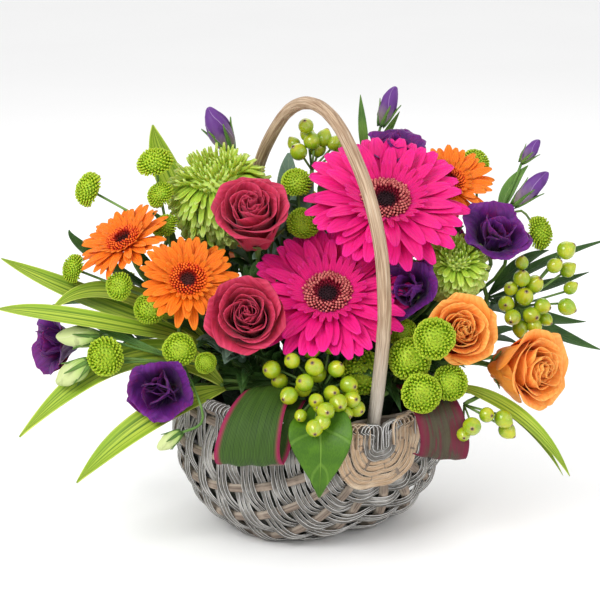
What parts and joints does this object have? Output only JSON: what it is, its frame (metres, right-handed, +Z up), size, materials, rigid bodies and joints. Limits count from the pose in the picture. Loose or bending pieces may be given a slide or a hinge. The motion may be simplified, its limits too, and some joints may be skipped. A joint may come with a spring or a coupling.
{
  "type": "flower basket arrangement",
  "caption": "Oval ribbed willow basket with a hoop handle, filled with gerberas, roses, chrysanthemums, lisianthus, hypericum berries and striped foliage in wet floral foam.",
  "frame": {"origin": "middle of the basket's flat underside, on the table", "axes": "+Z up; -Y towards the viewer's side of the arrangement, so +X is to the viewer's right; the basket's long axis is turned 32 degrees from +X towards +Y"},
  "size_m": [0.4093, 0.2254, 0.289],
  "materials": {
    "willow": "matte",
    "handle_wood": "satin",
    "film": "gloss",
    "foam": "matte",
    "crimson_petal": "satin",
    "apricot_petal": "satin",
    "pink_petal": "satin",
    "orange_petal": "satin",
    "dark_eye": "matte",
    "red_eye": "matte",
    "lime_petal": "satin",
    "purple_petal": "satin",
    "pale_bud": "satin",
    "button_floret": "matte",
    "berry": "gloss",
    "broad_leaf": "gloss",
    "maroon_leaf": "satin",
    "striped_leaf": "satin",
    "dark_leaf": "satin",
    "grey_leaf": "matte"
  },
  "bodies": {
    "root": {"basket_weave": "willow", "basket_rim": "willow", "basket_handle": "handle_wood", "film_liner": "film", "floral_foam": "foam", "rose_crimson_upper": "crimson_petal", "rose_crimson_lower": "crimson_petal", "rose_crimson_back": "crimson_petal", "rose_orange_near": "apricot_petal", "rose_orange_right": "apricot_petal", "gerbera_pink_upper_petals": "pink_petal", "gerbera_pink_lower_petals": "pink_petal", "gerbera_pink_upper_eye": "dark_eye", "gerbera_pink_lower_eye": "dark_eye", "gerbera_orange_upper_petals": "orange_petal", "gerbera_orange_lower_petals": "orange_petal", "gerbera_orange_right_petals": "orange_petal", "gerbera_orange_back_petals": "orange_petal", "gerbera_orange_upper_eye": "red_eye", "gerbera_orange_lower_eye": "red_eye", "gerbera_orange_right_eye": "red_eye", "gerbera_orange_back_eye": "red_eye", "chrysanthemum_large": "lime_petal", "chrysanthemum_small": "lime_petal", "lisianthus_right": "purple_petal", "lisianthus_middle": "purple_petal", "lisianthus_left": "purple_petal", "lisianthus_low": "purple_petal", "lisianthus_top": "purple_petal", "lisianthus_back": "purple_petal", "rolled_leaf_left": "broad_leaf", "rolled_leaf_right": "maroon_leaf", "broad_leaf_front": "broad_leaf", "santini_upper_left": "button_floret", "santini_left": "button_floret", "santini_low_left": "button_floret", "santini_top": "button_floret", "santini_right_cluster": "button_floret", "santini_right": "button_floret", "santini_back": "button_floret", "hypericum_front": "berry", "hypericum_top": "berry", "hypericum_right": "berry", "hypericum_low_right": "berry", "hypericum_back": "berry", "bud_spray_upper_left": "purple_petal", "bud_spray_upper_right": "purple_petal", "bud_spray_right": "purple_petal", "bud_spray_left": "pale_bud", "striped_leaf_upper": "striped_leaf", "striped_leaves_left": "striped_leaf", "striped_leaves_low": "striped_leaf", "grass_leaf_right": "striped_leaf", "dark_leaves_right": "dark_leaf", "dark_leaves_left": "dark_leaf", "dark_leaves_back": "dark_leaf", "grey_leaves": "grey_leaf"}
  },
  "joints": []
}
